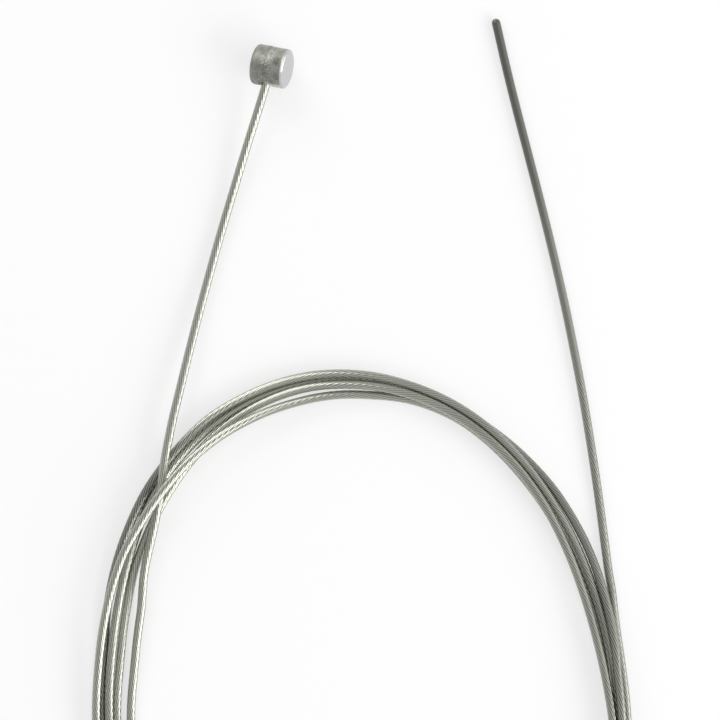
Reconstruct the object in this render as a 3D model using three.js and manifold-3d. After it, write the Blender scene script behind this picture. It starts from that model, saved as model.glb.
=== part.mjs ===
// Bicycle brake inner cable, lying as it comes out of its bag: one steel strand in a loose coil,
// with a die-cast barrel nipple on one end and a fused, rounded tip on the other.
// Millimetres, +Z up. The coil lies flat on Z = 0, and the origin is under the middle of the whole.
import * as THREE from 'three';
import { mergeVertices } from 'three/addons/utils/BufferGeometryUtils.js';
import Module from 'manifold-3d';

const wasm = await Module();
wasm.setup();

// Strand
const strandDiameter = 1.5;
const strandSides = 8;
const tubeStep = 2.4 * strandDiameter;
const meshGap = 0.3; // kept between two solids that touch on the real cable

// Nipple: a barrel cast across the strand
const barrelDiameter = 7.0;
const barrelLength = 6.0;
const rimRound = 0.55; // on the end that rests
const rimChamfer = 0.35; // on the raised end
const partingWidth = 0.9; // band at mid length where the two die halves met
const partingStep = 0.12; // how much smaller in radius the raised half is
const pocketClearance = 0.35; // round the strand where it enters
const pocketDepth = 0.8;
const pocketFlare = 0.25; // how much wider its mouth is than its floor
const pocketOffset = -0.5; // from mid length, towards the resting end
const barrelSlope = 10.3; // degrees that the axis falls to the right
const barrelTilt = 18; // degrees that the right end is raised
const barrelRoll = 10; // degrees about its own axis, so that the pocket faces the strand coming up to it
const barrelFacets = 48;
const barrelPlace = new THREE.Vector2(-15.61, 113.21);

// Coil: an oval with its shoulders leaning left, on which each pass of the strand keeps a lane
const halfWidth = 43.74;
const halfHeight = 58.83;
const shoulderLean = 1.54;
const contactSpacing = 1.03 * strandDiameter; // centre to centre of strands that touch
const coilClearance = 0.1; // round the pile of strands
const sectionStep = 5; // degrees
const loose = { from: 124, to: 1832 }; // degrees of travel where the strand joins and leaves the coil

// Degrees round the oval, counted from the right side over the top, at which lanes are given
const stations = [
  0, 10, 20, 30, 40, 50, 60, 70, 80, 90, 100, 110, 117, 124, 131, 138, 145, 155, 165, 180, 225, 270, 315,
];
// Distance of each pass from the oval, outward, starting with the part of a turn after the nipple
const lanes = [
  [4.5, 0.61, -1.6, -2.78, -4.3, -4.57, -3.97, -3.3, -2.4, -1.5],
  [-0.8, -1.03, -1.1, -1.05, -0.98, -0.75, -0.75, -0.78, -1.25, -2.0, -1.87, -1.15, -0.42, 0.2, 0.62,
    1.09, 1.55, 1.55, 1.55, 1.95, 2.3, 1.9, 1.3],
  [0.75, 0.95, 1.75, 2.3, 2.57, 2.35, 1.6, 0.85, 0.68, 0.65, 1.0, 1.5, 1.72, 1.75, 1.6,
    1.0, 0.33, -0.26, -0.5, -0.3, -0.2, -0.4, -0.7],
  [-0.87, -1.1, -1.2, -1.1, -0.85, -0.56, -0.43, -0.47, -0.5, -0.36, 0.1, 0.3, 0.2, -0.12, -0.46,
    -0.8, -1.12, -1.78, -2.03, -1.58, -1.4, -0.9, -0.2],
  [0.1, 0.14, 0.32, 0.6, 0.83, 0.84, 0.9, 0.93, 0.95, 1.4, 2.1, 2.7, 3.12, 3.05, 2.98,
    2.6, 2.2, 1.5, 0.75, 0.95, 1.2, 1.4, 1.5],
  [1.65, 1.85, 2.35, 3.75, 5.84],
];
// Which pass lies on which, lowest first, up to the given degree
const layers = [
  { until: 48, order: [1, 5, 4, 2, 3] },
  { until: 105, order: [2, 1, 4, 3] },
  { until: 138, order: [2, 4, 3, 0, 1] },
  { until: 200, order: [4, 3, 0, 2, 1] },
  { until: 360, order: [4, 0, 3, 2, 1] },
];

// Route of the strand from the coil to the nipple's pocket, and from the coil to the tip, about the
// coil's centre; the last point of the first is the pocket's own
const nippleRoute = [
  [-33.47, 48.45, 2.4], [-32.64, 52.49, 2.25], [-31.61, 56.78, 1.95], [-30.58, 61.06, 1.6],
  [-29.55, 65.35, 1.25], [-28.51, 69.64, 1.0], [-27.38, 73.93, 0.86], [-26.21, 78.22, 0.8],
  [-25.03, 82.5, 0.8], [-23.79, 86.79, 0.84], [-22.5, 91.08, 1.0], [-21.22, 95.37, 1.4],
  [-19.91, 99.66, 2.03], [-18.56, 103.95, 2.78], [-17.33, 107.89, 3.5],
];
const tipRoute = [
  [42.1, 26.5, 0.76], [41.6, 30.19, 0.76], [40.7, 37.05, 0.76], [39.73, 43.91, 0.76], [38.66, 50.77, 0.76],
  [37.5, 57.63, 0.76], [36.19, 64.49, 0.76], [34.79, 71.36, 0.76], [33.26, 78.22, 0.76], [31.63, 85.08, 0.76],
  [29.9, 91.94, 0.76], [28.13, 98.8, 0.76], [26.36, 105.66, 0.76], [24.66, 112.52, 0.76],
  [23.1, 119.38, 0.76], [22.83, 120.55, 0.76],
];

const strandRadius = strandDiameter / 2;
const rad = THREE.MathUtils.degToRad;

// Lanes between stations: a cubic that never overshoots the numbers given
function laneCurve() {
  const x = [];
  const y = [];
  lanes.forEach((row, pass) => {
    const skipped = pass === 0 ? stations.length - row.length : 0;
    row.forEach((value, i) => {
      x.push(360 * pass + stations[i + skipped]);
      y.push(value);
    });
  });
  const rise = x.slice(1).map((value, i) => (y[i + 1] - y[i]) / (value - x[i]));
  const slope = x.map((value, i) => {
    if (i === 0) return rise[0];
    if (i === x.length - 1) return rise[i - 1];
    if (rise[i - 1] * rise[i] <= 0) return 0;
    const before = x[i] - x[i - 1];
    const after = x[i + 1] - x[i];
    const a = 2 * after + before;
    const b = after + 2 * before;
    return (a + b) / (a / rise[i - 1] + b / rise[i]);
  });
  return (degrees) => {
    let i = 0;
    while (i < x.length - 2 && x[i + 1] < degrees) i += 1;
    const width = x[i + 1] - x[i];
    const t = (degrees - x[i]) / width;
    const kept = (1 + 2 * t) * (1 - t) ** 2 * y[i] + t * t * (3 - 2 * t) * y[i + 1];
    return kept + width * (t * (1 - t) ** 2 * slope[i] + t * t * (t - 1) * slope[i + 1]);
  };
}
const laneAt = laneCurve();

function ovalPoint(degrees) {
  const t = rad(degrees);
  const ellipse = (halfWidth * halfHeight) / Math.hypot(halfHeight * Math.cos(t), halfWidth * Math.sin(t));
  const radius = ellipse - shoulderLean * Math.sin(2 * t);
  return new THREE.Vector2(radius * Math.cos(t), radius * Math.sin(t));
}

function outward(degrees) {
  const along = ovalPoint(degrees + 0.05).sub(ovalPoint(degrees - 0.05)).normalize();
  return new THREE.Vector2(along.y, -along.x);
}

// The strands side by side and on each other at one place round the coil, each on those already laid
function pileAt(degrees) {
  const laid = [];
  for (const pass of layers.find((zone) => degrees < zone.until).order) {
    const travelled = 360 * pass + degrees;
    if (travelled < loose.from || travelled > loose.to) continue;
    const lane = laneAt(travelled);
    let height = strandRadius;
    for (const below of laid) {
      const apart = Math.abs(below.lane - lane);
      if (apart < contactSpacing) {
        height = Math.max(height, below.height + Math.sqrt(contactSpacing ** 2 - apart ** 2));
      }
    }
    laid.push({ lane, height });
  }
  const reach = strandRadius + coilClearance;
  return {
    inner: Math.min(...laid.map((strand) => strand.lane)) - reach,
    outer: Math.max(...laid.map((strand) => strand.lane)) + reach,
    top: Math.max(...laid.map((strand) => strand.height)) + reach,
  };
}

// Cross-section of the coil as distance from the oval and height, with its edges as round as a strand
function coilSection({ inner, outer, top }) {
  const corners = [
    { at: [outer - strandRadius, strandRadius], from: -90 },
    { at: [outer - strandRadius, top - strandRadius], from: 0 },
    { at: [inner + strandRadius, top - strandRadius], from: 90 },
    { at: [inner + strandRadius, strandRadius], from: 180 },
  ];
  return corners.flatMap(({ at, from }) => [0, 45, 90].map((turn) => {
    const angle = rad(from + turn);
    return [at[0] + strandRadius * Math.cos(angle), at[1] + strandRadius * Math.sin(angle)];
  }));
}

// Outer shape of the whole coil, one closed ring of sections; where an end joins or leaves it, two
// sections stand close together and the ring ends in a shoulder that the end's tube faces
function coilGeometry() {
  const shoulderWidth = 0.02;
  const angles = [];
  for (let angle = 0; angle < 360; angle += sectionStep) angles.push(angle);
  for (const end of [loose.from % 360, loose.to % 360]) angles.push(end - shoulderWidth, end + shoulderWidth);
  angles.sort((a, b) => a - b);
  const sections = angles.map((angle) => coilSection(pileAt(angle)));
  const count = sections[0].length;
  const positions = [];
  angles.forEach((angle, i) => {
    const centre = ovalPoint(angle);
    const out = outward(angle);
    for (const [distance, height] of sections[i]) {
      positions.push(centre.x + out.x * distance, centre.y + out.y * distance, height);
    }
  });
  const index = [];
  for (let i = 0; i < angles.length; i += 1) {
    const next = (i + 1) % angles.length;
    for (let j = 0; j < count; j += 1) {
      const beside = (j + 1) % count;
      const [a, b, c, d] = [i * count + j, next * count + j, next * count + beside, i * count + beside];
      index.push(a, b, c, a, c, d);
    }
  }
  const geometry = new THREE.BufferGeometry();
  geometry.setAttribute('position', new THREE.Float32BufferAttribute(positions, 3));
  geometry.setIndex(index);
  return geometry;
}

function strandGeometry(points) {
  const path = new THREE.CatmullRomCurve3(points);
  const section = new THREE.Shape();
  for (let i = 0; i < strandSides; i += 1) {
    const angle = (2 * Math.PI * (i + 0.5)) / strandSides;
    const [x, y] = [strandRadius * Math.cos(angle), strandRadius * Math.sin(angle)];
    if (i === 0) section.moveTo(x, y);
    else section.lineTo(x, y);
  }
  section.closePath();
  const steps = Math.round(path.getLength() / tubeStep);
  return new THREE.ExtrudeGeometry(section, { steps, extrudePath: path, curveSegments: 1 });
}

function toSolid(geometry) {
  const plain = geometry.clone();
  plain.deleteAttribute('normal');
  plain.deleteAttribute('uv');
  const merged = mergeVertices(plain, 1e-4);
  return new wasm.Manifold(new wasm.Mesh({
    numProp: 3,
    vertProperties: new Float32Array(merged.attributes.position.array),
    triVerts: new Uint32Array(merged.index.array),
  }));
}

function toGeometry(solid) {
  const mesh = solid.getMesh();
  const geometry = new THREE.BufferGeometry();
  geometry.setAttribute('position', new THREE.BufferAttribute(mesh.vertProperties, 3));
  geometry.setIndex(new THREE.BufferAttribute(mesh.triVerts, 1));
  return geometry;
}

// The barrel turned about its own axis, with the two rims, the parting band and the small step where
// the die halves met, less the pocket at mid length through which the strand enters
function barrelGeometry() {
  const radius = barrelDiameter / 2;
  const small = radius - partingStep;
  const half = barrelLength / 2;
  const profile = [[0, -half]];
  for (let turn = -90; turn <= 0; turn += 22.5) {
    const angle = rad(turn);
    const [out, up] = [rimRound * Math.cos(angle), rimRound * Math.sin(angle)];
    profile.push([radius - rimRound + out, -half + rimRound + up]);
  }
  profile.push([radius, -partingWidth / 2]);
  profile.push([radius - partingStep / 2, -partingWidth / 2 + partingStep]);
  profile.push([radius - partingStep / 2, partingWidth / 2 - partingStep]);
  profile.push([small, partingWidth / 2]);
  profile.push([small, half - rimChamfer]);
  profile.push([small - rimChamfer, half]);
  profile.push([0, half]);
  const points = profile.map(([x, y]) => new THREE.Vector2(x, y));
  const turned = new THREE.LatheGeometry(points, barrelFacets).rotateZ(-Math.PI / 2);
  const pocketRadius = strandRadius + pocketClearance;
  const pocket = new THREE.CylinderGeometry(pocketRadius + 2 * pocketFlare, pocketRadius, 2 * pocketDepth, 24)
    .rotateX(Math.PI)
    .translate(pocketOffset, -radius, 0);
  return toGeometry(toSolid(turned).subtract(toSolid(pocket)));
}

// The free end's wires are fused into a round nose of the strand's own width
function freeEndGeometry(points) {
  const [before, last] = points.slice(-2);
  const nose = new THREE.SphereGeometry(strandRadius, strandSides, strandSides / 2 + 2);
  const along = new THREE.Quaternion().setFromUnitVectors(
    new THREE.Vector3(0, 1, 0),
    last.clone().sub(before).normalize(),
  );
  nose.applyQuaternion(along).translate(last.x, last.y, last.z);
  return toGeometry(toSolid(strandGeometry(points)).add(toSolid(nose)));
}

function mesh(name, geometry, look) {
  const made = new THREE.Mesh(geometry, new THREE.MeshStandardMaterial(look));
  made.name = name;
  return made;
}

const zinc = { color: 0x8f9088, roughness: 0.55, metalness: 0.75 };
const steel = { color: 0x9a9a8c, roughness: 0.38, metalness: 0.9 };

const barrel = mesh('barrel_nipple', barrelGeometry(), zinc);
barrel.rotation.set(rad(barrelRoll), rad(-barrelTilt), rad(-barrelSlope), 'ZYX');
const restReach = (barrelLength / 2 - rimRound) * Math.sin(rad(barrelTilt))
  + (barrelDiameter / 2 - rimRound) * Math.cos(rad(barrelTilt)) + rimRound;
barrel.position.set(barrelPlace.x, barrelPlace.y, restReach);
barrel.updateMatrix();

// The strand ends just short of the pocket's floor, on the pocket's axis
const pocketEnd = new THREE.Vector3(pocketOffset, pocketDepth - 1.3 * meshGap - barrelDiameter / 2, 0);
const nipplePoints = nippleRoute.map((point) => new THREE.Vector3(...point));
nipplePoints.push(pocketEnd.applyMatrix4(barrel.matrix));
const tipPoints = tipRoute.map((point) => new THREE.Vector3(...point));

const lying = new THREE.Group();
lying.add(barrel);
lying.add(mesh('strand_nipple_end', strandGeometry(nipplePoints), steel));
lying.add(mesh('strand_coil', coilGeometry(), steel));
lying.add(mesh('strand_free_end', freeEndGeometry(tipPoints), steel));

const box = new THREE.Box3().setFromObject(lying, true);
const middle = box.getCenter(new THREE.Vector3());
lying.position.set(-middle.x, -middle.y, -box.min.z);

const cable = new THREE.Group();
cable.add(lying);

export default cable;
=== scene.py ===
# Bicycle brake inner cable lying in a loose coil on a white table, seen from straight above
import math

import bpy
import numpy as np
from mathutils import Matrix, Vector


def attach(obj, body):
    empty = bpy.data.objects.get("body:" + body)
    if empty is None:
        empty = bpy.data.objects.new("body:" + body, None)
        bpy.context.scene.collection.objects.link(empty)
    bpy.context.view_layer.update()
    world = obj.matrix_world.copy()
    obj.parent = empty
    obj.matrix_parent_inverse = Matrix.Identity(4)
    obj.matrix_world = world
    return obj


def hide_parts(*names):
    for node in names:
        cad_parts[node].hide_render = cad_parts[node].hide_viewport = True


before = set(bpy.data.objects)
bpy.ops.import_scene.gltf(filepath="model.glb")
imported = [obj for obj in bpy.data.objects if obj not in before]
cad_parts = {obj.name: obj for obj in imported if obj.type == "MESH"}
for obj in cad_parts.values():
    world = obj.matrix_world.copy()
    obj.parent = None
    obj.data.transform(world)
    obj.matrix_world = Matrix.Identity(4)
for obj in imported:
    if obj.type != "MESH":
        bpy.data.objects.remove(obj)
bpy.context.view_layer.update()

mm = 0.001
coilCentre = np.array([0.0000986, -0.0298523, 0.0])  # the middle of the coil, from which routes count


# Camera, straight down, at the photograph's framing
cameraSetup = {
    "pixelsPerMetre": 5830.0,
    "imageSize": 720,
    "coilCentrePixel": (363.0, 726.0),  # just under the picture's lower edge
    "distance": 3.0,
    "sensor": 36.0,
}


def addCamera(setup):
    data = bpy.data.cameras.new("camera")
    data.sensor_width = setup["sensor"]
    across = setup["imageSize"] / setup["pixelsPerMetre"]
    data.lens = setup["sensor"] * setup["distance"] / across
    camera = bpy.data.objects.new("camera", data)
    middle = setup["imageSize"] / 2
    x = coilCentre[0] + (middle - setup["coilCentrePixel"][0]) / setup["pixelsPerMetre"]
    y = coilCentre[1] + (setup["coilCentrePixel"][1] - middle) / setup["pixelsPerMetre"]
    camera.location = (x, y, setup["distance"])
    bpy.context.collection.objects.link(camera)
    bpy.context.scene.camera = camera


addCamera(cameraSetup)
print("camera placed")


# Sockets with arithmetic, and one way to add any other node
class Signal:
    def __init__(self, graph, socket):
        self.graph = graph
        self.socket = socket

    def math(self, operation, *others):
        return self.graph.math(operation, self, *others)

    def __add__(self, other):
        return self.math("ADD", other)

    def __radd__(self, other):
        return self.math("ADD", other)

    def __sub__(self, other):
        return self.math("SUBTRACT", other)

    def __rsub__(self, other):
        return self.graph.math("SUBTRACT", other, self)

    def __mul__(self, other):
        return self.math("MULTIPLY", other)

    def __truediv__(self, other):
        return self.math("DIVIDE", other)

    def __rtruediv__(self, other):
        return self.graph.math("DIVIDE", other, self)

    def __mod__(self, other):
        return self.math("FLOORED_MODULO", other)

    def __pow__(self, other):
        return self.math("POWER", other)

    def __lt__(self, other):
        return self.math("LESS_THAN", other)


class Graph:
    def __init__(self, tree):
        self.tree = tree

    def node(self, kind, settings=None, inputs=None, output=0):
        made = self.tree.nodes.new(kind)
        for name, value in (settings or {}).items():
            if name == "stops":
                setStops(made.color_ramp, value)
            else:
                setattr(made, name, value)
        for key, value in (inputs or {}).items():
            if isinstance(value, Signal):
                self.tree.links.new(value.socket, made.inputs[key])
            else:
                made.inputs[key].default_value = value
        return Signal(self, made.outputs[output]) if made.outputs else made

    def math(self, operation, *values):
        return self.node("ShaderNodeMath", {"operation": operation}, dict(enumerate(values)))


def setStops(ramp, stops):
    while len(ramp.elements) > 1:
        ramp.elements.remove(ramp.elements[-1])
    for i, (position, colour) in enumerate(stops):
        element = ramp.elements[0] if i == 0 else ramp.elements.new(position)
        element.position = position
        element.color = (*colour, 1.0)


def newMaterial(name):
    material = bpy.data.materials.new(name)
    material.use_nodes = True
    material.node_tree.nodes.clear()
    return material, Graph(material.node_tree)


def ramped(signal, start, width):
    # from 0 at the start to 1 a width further on
    return ((signal - start) / width).math("MAXIMUM", 0.0).math("MINIMUM", 1.0)


# The strand's route
cable = {
    "diameter": 1.5 * mm,  # nominal
    "crest": 1.515 * mm,  # over the outer wires
    "length": 1.7,
    "step": 1.12 * mm,  # between the strand's rings
    "halfWidth": 43.74 * mm,
    "halfHeight": 58.83 * mm,
    "shoulderLean": 1.54 * mm,
    "contactSpacing": 1.545 * mm,
    "coilStep": 2,  # degrees
    "softenRounds": 4,  # of the first heights
    "pointsPerSpan": 12,  # on the smooth curve between two given points
    "loose": (124, 1832),  # degrees of travel where the strand joins and leaves the coil
    "springiness": 9e-5,  # bending stiffness over weight per metre, in cubic metres
    "heldRings": 8,  # rings at the nipple that the casting holds
    "settleRounds": 80,
    "push": 1e9,  # of the floor and of one pass on another, over weight per metre
    "passesApart": 0.04,  # least way along the strand, in metres, between two rings that can cross
    "crossingReach": 1.5,  # in widths of the strand
    "ringReach": 0.55,  # how far along a ring still counts, in ring steps
    "fullContact": 0.975,  # in widths: passes that barely touch slip past each other
}
# Degrees round the oval, counted from the right side over the top, at which lanes are given
stations = [0, 10, 20, 30, 40, 50, 60, 70, 80, 90, 100, 110, 117, 124, 131, 138, 145, 155, 165, 180, 225,
            270, 315]
# Distance of each pass from the oval in millimetres, outward
lanes = [
    [4.5, 0.61, -1.6, -2.78, -4.3, -4.57, -3.97, -3.3, -2.4, -1.5],
    [-0.8, -0.95, -0.7, -0.6, -0.55, -0.62, -0.75, -0.78, -1.25, -2.0, -1.87, -1.15, -0.42, 0.2, 0.62,
     1.09, 1.55, 1.55, 1.55, 1.95, 2.3, 1.9, 1.3],
    [0.75, 0.95, 1.73, 2.25, 2.51, 2.33, 1.6, 0.85, 0.68, 0.65, 1.0, 1.5, 1.72, 1.75, 1.6,
     1.0, 0.33, -0.26, -0.5, -0.3, -0.2, -0.4, -0.7],
    [-0.87, -1.1, -1.2, -1.1, -0.85, -0.56, -0.43, -0.47, -0.5, -0.36, 0.1, 0.3, 0.2, -0.12, -0.46,
     -0.8, -1.12, -1.78, -2.03, -1.58, -1.4, -0.9, -0.2],
    [0.1, 0.3, 0.73, 0.83, 0.92, 0.88, 0.9, 0.93, 0.95, 1.4, 2.1, 2.7, 3.12, 3.05, 2.98,
     2.6, 2.2, 1.5, 0.75, 0.95, 1.2, 1.4, 1.5],
    [1.65, 1.85, 2.35, 3.75, 5.84],
]
# Which pass lies on which, lowest first, up to the given degree
layers = [
    (48, [1, 5, 4, 2, 3]),
    (96, [2, 1, 4, 3]),
    (138, [2, 4, 3, 0, 1]),
    (200, [4, 3, 0, 2, 1]),
    (360, [4, 0, 3, 2, 1]),
]
# From the coil to each end, in metres from the coil's centre
nippleRoute = [
    (-0.03347, 0.04845, 0.0024), (-0.03264, 0.05249, 0.00225), (-0.03161, 0.05678, 0.00195),
    (-0.03058, 0.06106, 0.0016), (-0.02952, 0.06535, 0.00125), (-0.02843, 0.06964, 0.001),
    (-0.0273, 0.07393, 0.00086), (-0.02613, 0.07822, 0.0008), (-0.02495, 0.0825, 0.0008),
    (-0.02371, 0.08679, 0.00084), (-0.02242, 0.09108, 0.001), (-0.02114, 0.09537, 0.0014),
    (-0.01983, 0.09966, 0.00203), (-0.01848, 0.10395, 0.00278), (-0.01725, 0.10789, 0.0035),
    (-0.01646, 0.11053, 0.00402), (-0.016, 0.11214, 0.00426),
]
tipRoute = [
    (0.0421, 0.0265, 0.00076), (0.0416, 0.03019, 0.00076), (0.0407, 0.03705, 0.00076),
    (0.03973, 0.04391, 0.00076), (0.03866, 0.05077, 0.00076), (0.0375, 0.05763, 0.00076),
    (0.03619, 0.06449, 0.00076), (0.03479, 0.07136, 0.00076), (0.03326, 0.07822, 0.00076),
    (0.03163, 0.08508, 0.00076), (0.0299, 0.09194, 0.00076), (0.02813, 0.0988, 0.00076),
    (0.02636, 0.10566, 0.00076), (0.02466, 0.11252, 0.00076), (0.0231, 0.11938, 0.00076),
    (0.02283, 0.12055, 0.00076),
]


def laneTable():
    travel, lane = [], []
    for turn, row in enumerate(lanes):
        skipped = len(stations) - len(row) if turn == 0 else 0
        for i, value in enumerate(row):
            travel.append(360.0 * turn + stations[i + skipped])
            lane.append(value * mm)
    return np.array(travel), np.array(lane)


def laneAt(at, travel, lane):
    # a cubic between stations that never overshoots the numbers given
    width = np.diff(travel)
    rise = np.diff(lane) / width
    slope = np.zeros(len(travel))
    slope[0], slope[-1] = rise[0], rise[-1]
    for i in range(1, len(travel) - 1):
        if rise[i - 1] * rise[i] > 0:
            a, b = 2 * width[i] + width[i - 1], width[i] + 2 * width[i - 1]
            slope[i] = (a + b) / (a / rise[i - 1] + b / rise[i])
    i = np.clip(np.searchsorted(travel, at, side="left") - 1, 0, len(width) - 1)
    t = (at - travel[i]) / width[i]
    kept = (1 + 2 * t) * (1 - t) ** 2 * lane[i] + t * t * (3 - 2 * t) * lane[i + 1]
    return kept + width[i] * (t * (1 - t) ** 2 * slope[i] + t * t * (t - 1) * slope[i + 1])


def ovalPoint(degrees):
    t = np.radians(degrees)
    wide, high = cable["halfWidth"], cable["halfHeight"]
    radius = wide * high / np.hypot(high * np.cos(t), wide * np.sin(t))
    radius -= cable["shoulderLean"] * np.sin(2 * t)
    return np.stack([radius * np.cos(t), radius * np.sin(t)], axis=-1)


def outward(degrees):
    nearby = 0.05  # degrees
    along = ovalPoint(degrees + nearby) - ovalPoint(degrees - nearby)
    along /= np.linalg.norm(along, axis=-1, keepdims=True)
    return np.stack([along[..., 1], -along[..., 0]], axis=-1)


def pileHeights(travel, lane):
    # each strand lies on the floor or on the strands already laid under it
    spacing = cable["contactSpacing"]
    heights = np.full(len(travel), cable["diameter"] / 2)
    index = {int(round(value)): i for i, value in enumerate(travel)}
    for place in range(0, 360, cable["coilStep"]):
        order = next(order for until, order in layers if place < until)
        laid = []
        for i in (index.get(360 * turn + place) for turn in order):
            if i is None:
                continue
            for below in laid:
                apart = abs(lane[below] - lane[i])
                if apart < spacing:
                    heights[i] = max(heights[i], heights[below] + math.sqrt(spacing ** 2 - apart ** 2))
            laid.append(i)
    return heights


def softened(values, rounds):
    values = np.array(values, float)
    for _ in range(rounds):
        values[1:-1] = (values[:-2] + 2 * values[1:-1] + values[2:]) / 4
    return values


def throughPoints(points, step):
    # a smooth curve through the points, then points along it at an even step
    chord = np.r_[0, np.cumsum(np.linalg.norm(np.diff(points, axis=0), axis=1) ** 0.5)]
    ends = np.vstack([2 * points[0] - points[1], points, 2 * points[-1] - points[-2]])
    knots = np.r_[2 * chord[0] - chord[1], chord, 2 * chord[-1] - chord[-2]]
    slope = (ends[2:] - ends[:-2]) / (knots[2:] - knots[:-2])[:, None]
    fine = []
    for i in range(len(points) - 1):
        width = chord[i + 1] - chord[i]
        t = np.linspace(0, 1, cable["pointsPerSpan"], endpoint=False)[:, None]
        fine.append(
            (1 + 2 * t) * (1 - t) ** 2 * points[i] + t * t * (3 - 2 * t) * points[i + 1]
            + width * (t * (1 - t) ** 2 * slope[i] + t * t * (t - 1) * slope[i + 1])
        )
    fine = np.vstack([*fine, points[-1:]])
    run = np.r_[0, np.cumsum(np.linalg.norm(np.diff(fine, axis=0), axis=1))]
    count = int(round(run[-1] / step)) + 1
    at = np.linspace(0, run[-1], count)
    return np.stack([np.interp(at, run, fine[:, k]) for k in range(3)], axis=-1)


def pileRanks():
    # rows are degrees round the coil, columns are passes
    table = np.full((360, len(lanes)), -1)
    for place in range(360):
        order = next(order for until, order in layers if place < until)
        table[place, order] = np.arange(len(order))
    return table


def crossings(path):
    # where one pass lies near another, and how far one must stay above the other there
    width = cable["crest"]
    turn = np.degrees(np.unwrap(np.arctan2(path[:, 1], path[:, 0])))
    i, j = np.triu_indices(len(path), int(cable["passesApart"] / cable["step"]))
    gap = path[i, :2] - path[j, :2]
    near = np.einsum("ij,ij->i", gap, gap) < (cable["crossingReach"] * width) ** 2
    i, j = i[near], j[near]
    i, j = np.r_[i, j], np.r_[j, i]
    along = np.gradient(path[:, :2], axis=0)
    along /= np.linalg.norm(along, axis=1)[:, None]
    gap = path[i, :2] - path[j, :2]
    beside = np.einsum("ij,ij->i", gap, along[j])
    aside = np.abs(gap[:, 0] * along[j, 1] - gap[:, 1] * along[j, 0])
    kept = (np.abs(beside) < cable["ringReach"] * cable["step"]) & (aside < cable["fullContact"] * width)
    i, j = i[kept], j[kept]
    place = (turn[np.minimum(i, j)] % 360).astype(int)
    rank = pileRanks()
    high = rank[place, (turn[i] // 360).astype(int)] > rank[place, (turn[j] // 360).astype(int)]
    return np.where(high, i, j), np.where(high, j, i), np.sqrt(width ** 2 - aside[kept] ** 2)


def settle(path):
    # heights of a springy strand under its own weight: it bends little and lies on the floor and on itself
    upper, lower, apart = crossings(path)
    count = len(path)
    floor = np.full(count, cable["crest"] / 2)
    height = path[:, 2].copy()
    bend = np.diff(np.eye(count), 2, axis=0)
    stiffness = cable["springiness"] / cable["step"] ** 4 * (bend.T @ bend)
    held = np.arange(cable["heldRings"])
    pressed = apart > height[upper] - height[lower]
    sunk = np.ones(count, bool)
    push = cable["push"]
    for _ in range(cable["settleRounds"]):
        matrix, load = stiffness.copy(), -np.ones(count)
        u, v = upper[pressed], lower[pressed]
        for a, b, share in ((u, u, 1), (v, v, 1), (u, v, -1), (v, u, -1)):
            np.add.at(matrix, (a, b), share * push)
        np.add.at(load, u, push * apart[pressed])
        np.add.at(load, v, -push * apart[pressed])
        for at, target in ((np.where(sunk)[0], floor), (held, path[:, 2])):
            matrix[at, at] += push
            load[at] += push * target[at]
        height = np.linalg.solve(matrix, load)
        newPressed = height[upper] - height[lower] < apart
        newSunk = height < floor
        if (newPressed == pressed).all() and (newSunk == sunk).all():
            break
        pressed, sunk = newPressed, newSunk
    short = (apart - (height[upper] - height[lower])).max()
    print("settled:", len(apart), "contacts, deepest", round(float(short) / mm, 3), "mm, floor",
          round(float((floor - height).max()) / mm, 3), "mm")
    return np.c_[path[:, :2], np.maximum(height, floor)]


def strandPath():
    start, end = cable["loose"]
    travel = np.arange(start, end + 0.5, cable["coilStep"], dtype=float)
    lane = laneAt(travel, *laneTable())
    flat = ovalPoint(travel) + outward(travel) * lane[:, None]
    coil = np.c_[flat, softened(pileHeights(travel, lane), cable["softenRounds"])]
    points = np.vstack([nippleRoute[::-1], coil[1:-1], tipRoute])
    return settle(throughPoints(points, cable["step"])) + coilCentre


path = strandPath()
pathLength = np.linalg.norm(np.diff(path, axis=0), axis=1).sum()
print("strand route:", len(path), "points,", round(pathLength, 4), "m, up to",
      round(path[:, 2].max() / mm, 2), "mm high")


# The strand: twelve outer wires laid left-handed round seven that stay hidden
strand = {
    "wireRadius": 0.27 * mm,  # more than the wire's own, because drawing flattens the wires' outer sides
    "outerWires": 12,
    "pointsPerWire": 4,
    "layLength": 15 * mm,
    "layHand": -1,  # -1 is left-handed
    "noseRings": 6,
    "noseTip": 0.04,  # share of the width that the nose's last ring keeps
    "groove": 0.02,  # edges with less crown than this stay sharp
    # the grooves' darker colours are painted shade between the wires
    "steel": [  # colours from the grooves to the crowns
        (0.0, (0.22, 0.225, 0.18)), (0.25, (0.43, 0.44, 0.365)), (0.6, (0.545, 0.555, 0.495)),
        (1.0, (0.6, 0.6, 0.57))],
    "marks": (9.0, 7.3, 260.0),  # drawing marks across a wire, from wire to wire and per metre along it
    "patches": 90.0,  # per metre
    # the grooves' extra darkening is painted shade between the wires, deepest where the length is darkest
    "grooveShade": 1.9,  # how much more the grooves are dulled than the crowns
    # brighter lengths on the coil's lit upper left are painted light, darker lengths where the coil lies in
    # shade are painted shade; the free end is tarnished
    "tarnishAndPaintedLight": [  # metres along the strand, and what is left of its brightness there
        (0.0, 0.94), (0.25, 0.94), (0.28, 0.86), (0.31, 0.86), (0.345, 1.0), (0.375, 1.0), (0.4, 0.94),
        (0.58, 0.88), (0.61, 0.77), (0.645, 0.77), (0.68, 1.0), (0.71, 1.0), (0.735, 0.94), (0.9, 0.86),
        (0.96, 0.86), (1.005, 1.0), (1.035, 1.0), (1.06, 0.94), (1.24, 0.86), (1.285, 0.86), (1.33, 1.0),
        (1.352, 1.0), (1.368, 0.69), (1.41, 0.69), (1.44, 0.85), (1.58, 0.85), (1.64, 0.81), (1.662, 0.7),
        (1.68, 0.57), (1.7, 0.53)],
}


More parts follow.
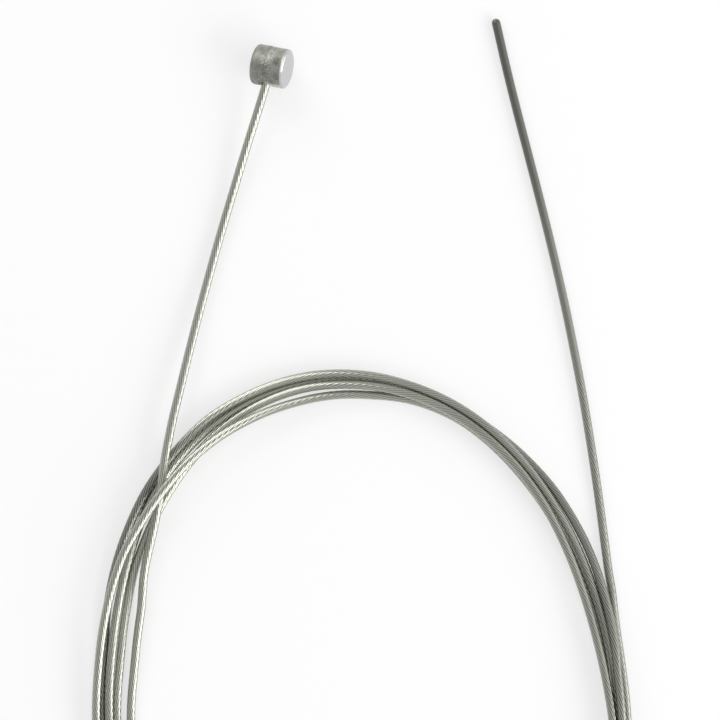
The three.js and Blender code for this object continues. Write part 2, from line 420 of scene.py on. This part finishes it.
def strandTree():
    tree = bpy.data.node_groups.new("laidWires", "GeometryNodeTree")
    face = tree.interface
    face.new_socket("Geometry", in_out="INPUT", socket_type="NodeSocketGeometry")
    for name, kind in (
        ("Strand Radius", "NodeSocketFloat"), ("Wire Radius", "NodeSocketFloat"),
        ("Outer Wires", "NodeSocketInt"), ("Points per Wire", "NodeSocketInt"),
        ("Twist per Metre", "NodeSocketFloat"), ("Finish", "NodeSocketMaterial"),
    ):
        face.new_socket(name, in_out="INPUT", socket_type=kind)
    face.new_socket("Geometry", in_out="OUTPUT", socket_type="NodeSocketGeometry")
    graph = Graph(tree)
    given = tree.nodes.new("NodeGroupInput")
    take = {socket.name: Signal(graph, socket) for socket in given.outputs if socket.name}

    # cross-section: one lobe for each outer wire
    count = take["Outer Wires"] * take["Points per Wire"]
    ring = graph.node("GeometryNodeCurvePrimitiveCircle", {"mode": "RADIUS"},
                      {"Resolution": count, "Radius": 1.0})
    number = graph.node("GeometryNodeInputIndex")
    turn = number * math.tau / count
    pitch = math.tau / take["Outer Wires"].math("MAXIMUM", 1)
    aside = (turn + pitch * 0.5) % pitch - pitch * 0.5  # angle from the middle of the nearest wire
    wireCentre = take["Strand Radius"] - take["Wire Radius"]
    reach = take["Wire Radius"] ** 2 - (wireCentre * aside.math("SINE")) ** 2
    radius = wireCentre * aside.math("COSINE") + reach.math("MAXIMUM", 0.0).math("SQRT")
    place = graph.node("ShaderNodeCombineXYZ", None, {
        "X": radius * turn.math("COSINE"), "Y": radius * turn.math("SINE"), "Z": 0.0})
    ring = graph.node("GeometryNodeSetPosition", None, {"Geometry": ring, "Position": place})
    crown = 1 - aside.math("ABSOLUTE") / (pitch * 0.5)
    ring = graph.node("GeometryNodeStoreNamedAttribute", {"data_type": "FLOAT", "domain": "POINT"},
                      {"Geometry": ring, "Name": "crown", "Value": crown})
    ring = graph.node("GeometryNodeStoreNamedAttribute", {"data_type": "FLOAT", "domain": "POINT"},
                      {"Geometry": ring, "Name": "wire", "Value": (turn / pitch + 0.5).math("FLOOR")})

    # the route, turned a little further at each point
    route = graph.node("GeometryNodeMeshToCurve", None, {"Mesh": take["Geometry"]})
    route = graph.node("GeometryNodeSetCurveNormal", {"mode": "Z_UP"}, {"Curve": route})
    run = graph.node("GeometryNodeSplineParameter", output="Length")
    route = graph.node("GeometryNodeSetCurveTilt", None,
                       {"Curve": route, "Tilt": run * take["Twist per Metre"]})
    route = graph.node("GeometryNodeStoreNamedAttribute", {"data_type": "FLOAT", "domain": "POINT"},
                       {"Geometry": route, "Name": "run", "Value": run})
    width = graph.node("GeometryNodeInputNamedAttribute", {"data_type": "FLOAT"}, {"Name": "width"})
    body = graph.node("GeometryNodeCurveToMesh", None,
                      {"Curve": route, "Profile Curve": ring, "Scale": width, "Fill Caps": True})

    # the grooves between wires stay sharp
    body = graph.node("GeometryNodeSetShadeSmooth", {"domain": "FACE"},
                      {"Geometry": body, "Shade Smooth": True})
    onCrown = graph.node("GeometryNodeInputNamedAttribute", {"data_type": "FLOAT"}, {"Name": "crown"})
    body = graph.node("GeometryNodeSetShadeSmooth", {"domain": "EDGE"},
                      {"Geometry": body, "Selection": onCrown < strand["groove"], "Shade Smooth": False})
    body = graph.node("GeometryNodeRealizeInstances", None, {"Geometry": body})
    body = graph.node("GeometryNodeSetMaterial", None, {"Geometry": body, "Material": take["Finish"]})
    result = tree.nodes.new("NodeGroupOutput")
    tree.links.new(body.socket, result.inputs[0])
    return tree


def noseWidths(path):
    # the last rings stand closer together and shrink, so that the tip ends in a round nose
    radius = cable["crest"] / 2
    angles = np.linspace(0, math.pi / 2, strand["noseRings"] + 1)[1:]
    back = path[-1] - path[-2]
    back /= np.linalg.norm(back)
    nose = path[-1] + np.sin(angles)[:, None] * radius * back
    widths = np.r_[np.ones(len(path)), np.maximum(np.cos(angles), strand["noseTip"])]
    return np.vstack([path, nose]), widths


def buildStrand(path, finish):
    rings, widths = noseWidths(path)
    mesh = bpy.data.meshes.new("strandRoute")
    mesh.from_pydata(rings.tolist(), [(i, i + 1) for i in range(len(rings) - 1)], [])
    mesh.attributes.new("width", "FLOAT", "POINT").data.foreach_set("value", widths.astype(np.float32))
    holder = bpy.data.objects.new("strandRoute", mesh)
    bpy.context.collection.objects.link(holder)
    tree = strandTree()
    sizes = {
        "Strand Radius": cable["crest"] / 2,
        "Wire Radius": strand["wireRadius"],
        "Outer Wires": strand["outerWires"],
        "Points per Wire": strand["pointsPerWire"],
        "Twist per Metre": strand["layHand"] * math.tau / strand["layLength"],
        "Finish": finish,
    }
    modifier = holder.modifiers.new("laidWires", "NODES")
    modifier.node_group = tree
    for socket in tree.interface.items_tree:
        if socket.in_out == "INPUT" and socket.name in sizes:
            modifier[socket.identifier] = sizes[socket.name]
    depsgraph = bpy.context.evaluated_depsgraph_get()
    made = bpy.data.meshes.new_from_object(holder.evaluated_get(depsgraph), preserve_all_data_layers=True,
                                           depsgraph=depsgraph)
    bpy.data.objects.remove(holder)
    piece = bpy.data.objects.new("brake_strand", made)
    bpy.context.collection.objects.link(piece)
    return piece, rings


def strandFinish(setup):
    material, graph = newMaterial("laidSteelWire")
    crown, wire, run = (
        graph.node("ShaderNodeAttribute", {"attribute_name": name}, output="Fac")
        for name in ("crown", "wire", "run"))
    # darker towards the grooves: painted shade between the wires
    bare = graph.node("ShaderNodeValToRGB", {"stops": setup["steel"]}, {"Fac": crown})
    # drawing marks: streaks far longer than they are wide, different on each wire
    across, between, along = setup["marks"]
    marks = graph.node("ShaderNodeCombineXYZ", None, {
        "X": crown * across, "Y": wire * between, "Z": run * along})
    streak = graph.node("ShaderNodeTexNoise", {"noise_dimensions": "3D"},
                        {"Vector": marks, "Scale": 1.0, "Detail": 3.0, "Roughness": 0.6})
    place = graph.node("ShaderNodeTexCoord", output="Object")
    patch = graph.node("ShaderNodeTexNoise", None, {
        "Vector": place, "Scale": setup["patches"], "Detail": 2.0})
    # lengths on the coil's lit upper left are painted lighter, lengths in the coil's shade painted darker,
    # the free end is dulled by tarnish, and the grooves are painted darker than the crowns as shade
    left = graph.node("ShaderNodeValToRGB", {"stops": [
        (at / cable["length"], (share, share, share)) for at, share in setup["tarnishAndPaintedLight"]]},
        {"Fac": run / cable["length"]})
    # groove: painted shade between the wires, deepened where the length is darker
    groove = 1 - ramped(crown, 0.0, 0.9)
    tone = (0.74 + streak * 0.32 + patch * 0.2) * left * (1 - groove * (1 - left) * setup["grooveShade"])
    colour = graph.node("ShaderNodeVectorMath", {"operation": "SCALE"}, {0: bare, "Scale": tone})
    rough = 0.12 + streak * 0.07 + patch * 0.06
    bump = graph.node("ShaderNodeBump", None, {"Strength": 0.35, "Distance": 0.00001, "Height": streak})
    shine = graph.node("ShaderNodeBsdfPrincipled", None, {
        "Base Color": colour, "Metallic": 1.0, "Roughness": rough, "Normal": bump})
    graph.node("ShaderNodeOutputMaterial", None, {"Surface": shine})
    return material


piece, rings = buildStrand(path, strandFinish(strand))
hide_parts("strand_nipple_end", "strand_coil", "strand_free_end")
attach(piece, "root")
print("strand:", sum(len(p.vertices) - 2 for p in piece.data.polygons), "triangles")


# The nipple, a zinc barrel cast across the strand's end
nipple = {
    "radius": 3.5 * mm,
    "length": 6.0 * mm,
    "restingRim": 0.55 * mm,  # how far each rim is rounded
    "raisedRim": 0.5 * mm,
    "partingWidth": 0.9 * mm,  # band at mid length where the two die halves met
    "partingBevels": (0.1 * mm, 0.12 * mm),  # at the band's two edges
    "partingStep": 0.06 * mm,  # how much smaller in radius the raised half is
    "slope": -10.3,  # degrees, as are the next two
    "tilt": -16.0,
    "roll": 10.0,
    "middle": (-15.65 * mm, 113.05 * mm),  # from the coil's centre
    # where the strand comes out
    "mouthAlong": -0.57 * mm,
    "mouthUp": 0.75 * mm,
    "mouthFloor": 0.8 * mm,  # radius
    "mouthRim": 1.15 * mm,  # radius
    "mouthDepth": 0.65 * mm,
    "mouthTall": 1.45,  # height over width
    "ringStep": 0.09 * mm,
    "edgeRounds": 3,  # how often the profile's edges are softened
    "segments": 160,
    # hollows of the cast skin
    "seed": 11,
    "hollowWaves": 24,
    "hollowPitch": 1.6 / mm,
    "hollowRange": 14,  # of the waves' sum, from the skin to the deepest hollow
    "sunkBy": 0.03 * mm,
    "sunkAlong": 0.5,  # hollows sink less along the axis than towards it
    # colours
    "side": [
        (0.34, (0.16, 0.165, 0.125)), (0.46, (0.275, 0.283, 0.24)), (0.55, (0.355, 0.36, 0.345)),
        (0.66, (0.44, 0.445, 0.45))],
    # paler end face and rim: painted light where the barrel's end turns toward the lamps
    "end": [(0.25, (0.52, 0.525, 0.54)), (0.75, (0.77, 0.775, 0.785))],
    # marks on the skin, in millimetres from the middle
    # painted shade in the corner beside the band
    "cornerAt": -0.46,
    "cornerWidth": 0.14,
    # painted highlight on the band's upper part
    "bandAt": 0.02,
    "bandWidth": 0.42,
    "spotAt": (1.6, 1.7, 3.1),
    "spotSize": 0.5,
    # how strongly each changes the tone
    "corner": 0.3,
    "band": 0.3,
    "spot": 0.5,
    # painted light on the upper side
    "upper": 0.35,
    # painted reflection of the floor on the lower side
    "under": 1.1,
    "specks": 1.1,
    # painted highlight on the raised rim
    "rimHighlight": 0.5,
}


def rimArc(face, radius, rounding):
    # from the barrel's side to its end face
    inward = math.copysign(rounding, -face)
    arc = []
    for degrees in range(0, 91, 9):
        angle = math.radians(degrees)
        arc.append((face + inward * (1 - math.sin(angle)), radius - rounding * (1 - math.cos(angle))))
    return arc


def restingHeight(setup):
    # of the middle, when the lower rim touches the floor
    tilt, rounding = math.radians(abs(setup["tilt"])), setup["restingRim"]
    half = setup["length"] / 2
    return (half - rounding) * math.sin(tilt) + (setup["radius"] - rounding) * math.cos(tilt) + rounding


def barrelProfile(setup):
    # along the axis and out from it, rims and band rounded a little
    half, large = setup["length"] / 2, setup["radius"]
    small, band = large - setup["partingStep"], setup["partingWidth"] / 2
    middle = (large + small) / 2
    turned = [(-half, 0.0)]
    turned += rimArc(-half, large, setup["restingRim"])[::-1]
    lower, upper = setup["partingBevels"]
    turned += [(-band, large), (-band + lower, middle), (band - upper, middle), (band, small)]
    turned += rimArc(half, small, setup["raisedRim"])
    turned = np.array(turned + [(half, 0.0)])
    run = np.r_[0, np.cumsum(np.linalg.norm(np.diff(turned, axis=0), axis=1))]
    at = np.linspace(0, run[-1], int(run[-1] / setup["ringStep"]))
    even = np.stack([np.interp(at, run, turned[:, k]) for k in range(2)], axis=-1)
    for _ in range(setup["edgeRounds"]):
        even[1:-1] = (even[:-2] + 2 * even[1:-1] + even[2:]) / 4
    return even[1:-1]


def skinHollows(places, setup):
    # from 0 at the skin to 1 at the deepest hollow
    random = np.random.default_rng(setup["seed"])
    waves = random.normal(size=(setup["hollowWaves"], 3)) * setup["hollowPitch"]
    phases = random.uniform(0, math.tau, setup["hollowWaves"])
    return np.clip(0.5 + np.sin(places @ waves.T + phases).sum(axis=1) / setup["hollowRange"], 0, 1)


def buildNipple(setup):
    profile = barrelProfile(setup)
    turns = np.arange(setup["segments"]) * math.tau / setup["segments"]
    x = np.repeat(profile[:, 0], len(turns))
    out = np.repeat(profile[:, 1], len(turns))
    turn = np.tile(turns, len(profile))
    local = np.stack([x, out * np.cos(turn), out * np.sin(turn)], axis=-1)
    half = setup["length"] / 2
    local = np.vstack([local, [(-half, 0, 0), (half, 0, 0)]])
    inward = -local.copy()
    inward[:, 0] *= setup["sunkAlong"]
    inward /= np.linalg.norm(inward, axis=1, keepdims=True)
    cast = local + inward * (skinHollows(local, setup) * setup["sunkBy"])[:, None]
    reach = np.hypot(local[:, 0] - setup["mouthAlong"], (local[:, 2] - setup["mouthUp"]) / setup["mouthTall"])
    ease = np.clip((setup["mouthRim"] - reach) / (setup["mouthRim"] - setup["mouthFloor"]), 0, 1)
    cast[:, 1] += np.where(local[:, 1] < 0, setup["mouthDepth"] * ease * ease * (3 - 2 * ease), 0)
    faces = []
    count, rows = len(turns), len(profile)
    for row in range(rows - 1):
        for k in range(count):
            a, b = row * count + k, row * count + (k + 1) % count
            faces.append((a, b, b + count, a + count))
    first, last = rows * count, rows * count + 1
    for k in range(count):
        faces.append((first, (k + 1) % count, k))
        faces.append((last, (rows - 1) * count + k, (rows - 1) * count + (k + 1) % count))
    turnedBy = (Matrix.Rotation(math.radians(setup["slope"]), 3, "Z")
                @ Matrix.Rotation(math.radians(setup["tilt"]), 3, "Y")
                @ Matrix.Rotation(math.radians(setup["roll"]), 3, "X"))
    middle = np.array([*setup["middle"], restingHeight(setup)])
    placed = cast @ np.array(turnedBy).T + middle + coilCentre
    mesh = bpy.data.meshes.new("barrel_nipple_cast")
    mesh.from_pydata(placed.tolist(), [], faces)
    mesh.attributes.new("castPlace", "FLOAT_VECTOR", "POINT").data.foreach_set(
        "vector", (local / mm).astype(np.float32).ravel())
    mesh.shade_smooth()
    barrel = bpy.data.objects.new("barrel_nipple_cast", mesh)
    bpy.context.collection.objects.link(barrel)
    return barrel


def nippleFinish(setup):
    material, graph = newMaterial("castZinc")
    place = graph.node("ShaderNodeAttribute", {"attribute_name": "castPlace"}, output="Vector")
    along, across, up = (
        graph.node("ShaderNodeSeparateXYZ", None, {"Vector": place}, output=name) for name in ("X", "Y", "Z"))
    mottle = graph.node("ShaderNodeTexNoise", None, {
        "Vector": place, "Scale": 0.75, "Detail": 4.0, "Roughness": 0.6})
    grain = graph.node("ShaderNodeTexNoise", None, {
        "Vector": place, "Scale": 6.0, "Detail": 5.0, "Roughness": 0.65})
    side = graph.node("ShaderNodeValToRGB", {"stops": setup["side"]}, {"Fac": mottle * 0.5 + grain * 0.5})
    end = graph.node("ShaderNodeValToRGB", {"stops": setup["end"]}, {"Fac": grain})
    half = setup["length"] / mm / 2
    # the raised rim and end face take the paler end colours: painted light
    onRim = ramped(along, half - setup["raisedRim"] / mm - 0.04, 0.1)
    colour = graph.node("ShaderNodeMix", {"data_type": "RGBA"}, {"Factor": onRim, 6: side, 7: end}, output=2)
    # painted shade in the corner beside the band, a painted highlight on the band's upper part, and a dark
    # spot above the rim
    corner = 1 - ((along - setup["cornerAt"]).math("ABSOLUTE") / setup["cornerWidth"]).math("MINIMUM", 1.0)
    band = 1 - ((along - setup["bandAt"]).math("ABSOLUTE") / setup["bandWidth"]).math("MINIMUM", 1.0)
    # only the band's upper part: painted highlight
    band = band * ramped(across, 0.2, 1.6)
    spot = graph.node("ShaderNodeVectorMath", {"operation": "DISTANCE"},
                      {0: place, 1: setup["spotAt"]}, output="Value")
    spot = 1 - ramped(spot, setup["spotSize"], 0.5)
    # painted light on the upper side, strongest beside the band on the raised half, and a painted reflection
    # of the floor along the lower side below the mouth
    upper = ramped(across, 1.2, 1.8) * (0.3 + ramped(along, 0.1, 0.4) * 0.6)
    under = (1 - ramped(across, -2.85, 0.4)) * ramped(along, -0.6, 0.3)
    specks = graph.node("ShaderNodeTexNoise", None, {"Vector": place, "Scale": 3.6, "Detail": 1.0})
    specks = ramped(specks, 0.655, 0.04) * (1 - ramped((along + 0.1).math("ABSOLUTE"), 0.9, 0.5))
    tone = 1 - corner * setup["corner"] + band * setup["band"] - spot * setup["spot"]
    tone = tone + upper * setup["upper"] + under * setup["under"] + specks * setup["specks"]
    # a painted highlight where the raised rim faces up, where the rim is also smoother
    rimHighlight = onRim * (1 - ramped(along, half - 0.1, 0.06)) * ramped(up, 1.5, 0.5)
    rimHighlight = rimHighlight * ramped(across, -0.3, 0.7) * (1 - ramped(across, 2.0, 0.7))
    tone = graph.node("ShaderNodeMix", None, {"Factor": onRim, 2: tone, 3: 0.97 + rimHighlight * setup["rimHighlight"]})
    colour = graph.node("ShaderNodeVectorMath", {"operation": "SCALE"}, {0: colour, "Scale": tone})
    rough = graph.node("ShaderNodeMix", None, {
        "Factor": onRim, 2: 0.42 + mottle * 0.25, 3: 0.85 - rimHighlight * 0.45})
    bump = graph.node("ShaderNodeBump", None, {"Strength": 0.5, "Distance": 0.00004, "Height": grain})
    shine = graph.node("ShaderNodeBsdfPrincipled", None, {
        "Base Color": colour, "Metallic": 1.0, "Roughness": rough, "Normal": bump})
    graph.node("ShaderNodeOutputMaterial", None, {"Surface": shine})
    return material


barrel = buildNipple(nipple)
barrel.data.materials.append(nippleFinish(nipple))
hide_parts("barrel_nipple")
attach(barrel, "root")
print("nipple:", sum(len(p.vertices) - 2 for p in barrel.data.polygons), "triangles")


# Floor, lamps and sky
studio = {
    "skyStrength": 0.57,
    "floorColour": (0.97, 0.97, 0.97, 1.0),
    "unshaded": 0.6,  # share of the floor's white that takes no shadow
    "floorSize": 6.0,
    "lamps": [
        # place, width and height in metres, power in watts
        ((0.611, -0.325, 0.368), 0.62, 0.42, 3.6),
        ((-0.293, 0.628, 0.4), 0.4, 0.4, 1.7),
        ((1.706, 0.3, 1.0), 1.6, 1.6, 6.5),
    ],
}


def buildStudio(setup):
    half = setup["floorSize"] / 2
    mesh = bpy.data.meshes.new("floor")
    corners = [(-half, -half, 0), (half, -half, 0), (half, half, 0), (-half, half, 0)]
    mesh.from_pydata(corners, [], [(0, 1, 2, 3)])
    floor = bpy.data.objects.new("floor", mesh)
    bpy.context.collection.objects.link(floor)
    material, graph = newMaterial("whitePaper")
    seen = graph.node("ShaderNodeLightPath", output="Is Camera Ray")
    mirrored = graph.node("ShaderNodeLightPath", output="Is Glossy Ray")
    through = graph.node("ShaderNodeLightPath", output="Is Transmission Ray")
    plain = graph.node("ShaderNodeBsdfDiffuse", None, {"Color": setup["floorColour"]})
    glow = graph.node("ShaderNodeEmission", None, {"Color": (1.0, 1.0, 1.0, 1.0), "Strength": 1.0})
    share = seen.math("MAXIMUM", mirrored).math("MAXIMUM", through) * setup["unshaded"]
    mixed = graph.node("ShaderNodeMixShader", None, {0: share, 1: plain, 2: glow})
    graph.node("ShaderNodeOutputMaterial", None, {"Surface": mixed})
    mesh.materials.append(material)
    world = bpy.data.worlds.new("sky")
    bpy.context.scene.world = world
    world.use_nodes = True
    world.node_tree.nodes.clear()
    graph = Graph(world.node_tree)
    sky = graph.node("ShaderNodeBackground", None, {
        "Color": (1.0, 1.0, 1.0, 1.0), "Strength": setup["skyStrength"]})
    graph.node("ShaderNodeOutputWorld", None, {"Surface": sky})
    for number, (place, width, height, power) in enumerate(setup["lamps"]):
        data = bpy.data.lights.new(f"lamp{number}", "AREA")
        data.shape = "RECTANGLE"
        data.size = width
        data.size_y = height
        data.energy = power
        lamp = bpy.data.objects.new(f"lamp{number}", data)
        lamp.location = place
        lamp.rotation_euler = (-Vector(place)).to_track_quat("-Z", "Y").to_euler()
        bpy.context.collection.objects.link(lamp)


buildStudio(studio)
bpy.context.scene.view_settings.view_transform = "Standard"
print("floor and lamps placed")
